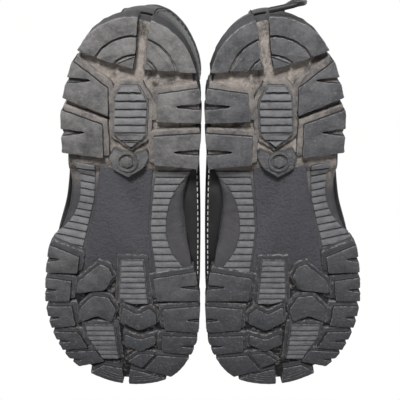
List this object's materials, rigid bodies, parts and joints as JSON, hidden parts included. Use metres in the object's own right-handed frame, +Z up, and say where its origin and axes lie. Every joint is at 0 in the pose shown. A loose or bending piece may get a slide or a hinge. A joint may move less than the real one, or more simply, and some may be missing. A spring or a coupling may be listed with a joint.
{
  "type": "pair of lug-soled boots",
  "caption": "Pair of mid-height black leather boots with deep rubber lug soles, stitched welts, padded collars, hinged tongues and tied laces.",
  "frame": {"origin": "on the ground, midway between the boots and midway between heel and toe", "axes": "+Z up, +Y towards the heels, +X towards the wearer's left; the left boot stands at +X"},
  "size_m": [0.234, 0.3088, 0.1297],
  "materials": {
    "outsole": "matt black rubber, worn grey and dusty",
    "midsole": "matt black",
    "shank": "plain spring steel",
    "welt": "black, white stitches",
    "insole_board": "tan fibreboard",
    "footbed": "charcoal textile over foam",
    "leather": "black grained leather, half gloss",
    "stiffener": "raw thermoplastic sheet",
    "lining": "charcoal mesh",
    "collar": "soft black leather",
    "lace": "black braid",
    "eyelet": "black enamel"
  },
  "bodies": {
    "left_boot": {"left_outsole": "outsole", "left_midsole": "midsole", "left_shank": "shank", "left_welt": "welt", "left_insole_board": "insole_board", "left_footbed": "footbed", "left_vamp": "leather", "left_quarter_lateral": "leather", "left_quarter_medial": "leather", "left_backstay": "leather", "left_eyestay_lateral": "leather", "left_eyestay_medial": "leather", "left_toe_puff": "stiffener", "left_heel_counter": "stiffener", "left_lining": "lining", "left_collar_pad": "collar", "left_lace_run": "lace", "left_lace_bow": "lace", "left_lace_end_lateral": "lace", "left_lace_end_medial": "lace", "left_eyelet_lateral_1": "eyelet", "left_eyelet_lateral_2": "eyelet", "left_eyelet_lateral_3": "eyelet", "left_eyelet_lateral_4": "eyelet", "left_eyelet_medial_1": "eyelet", "left_eyelet_medial_2": "eyelet", "left_eyelet_medial_3": "eyelet", "left_eyelet_medial_4": "eyelet"},
    "left_tongue_pad": {"left_tongue": "leather"},
    "right_boot": {"right_outsole": "outsole", "right_midsole": "midsole", "right_shank": "shank", "right_welt": "welt", "right_insole_board": "insole_board", "right_footbed": "footbed", "right_vamp": "leather", "right_quarter_lateral": "leather", "right_quarter_medial": "leather", "right_backstay": "leather", "right_eyestay_lateral": "leather", "right_eyestay_medial": "leather", "right_toe_puff": "stiffener", "right_heel_counter": "stiffener", "right_lining": "lining", "right_collar_pad": "collar", "right_lace_run": "lace", "right_lace_bow": "lace", "right_lace_end_lateral": "lace", "right_lace_end_medial": "lace", "right_eyelet_lateral_1": "eyelet", "right_eyelet_lateral_2": "eyelet", "right_eyelet_lateral_3": "eyelet", "right_eyelet_lateral_4": "eyelet", "right_eyelet_medial_1": "eyelet", "right_eyelet_medial_2": "eyelet", "right_eyelet_medial_3": "eyelet", "right_eyelet_medial_4": "eyelet"},
    "right_tongue_pad": {"right_tongue": "leather"}
  },
  "joints": [
    {"name": "left_tongue_flex", "type": "hinge", "parent": "left_boot", "child": "left_tongue_pad", "pos_m": [0.05, -0.05, 0.06], "axis": [-1, 0, 0], "range_deg": [0, 8], "stiffness_Nm_per_rad": 1},
    {"name": "right_tongue_flex", "type": "hinge", "parent": "right_boot", "child": "right_tongue_pad", "pos_m": [-0.05, -0.055, 0.06], "axis": [-1, 0, 0], "range_deg": [0, 8], "stiffness_Nm_per_rad": 1},
    {"name": "right_boot_place", "type": "slide", "parent": "left_boot", "child": "right_boot", "axis": [-1, 0, 0], "range_m": [0, 0.3]}
  ]
}
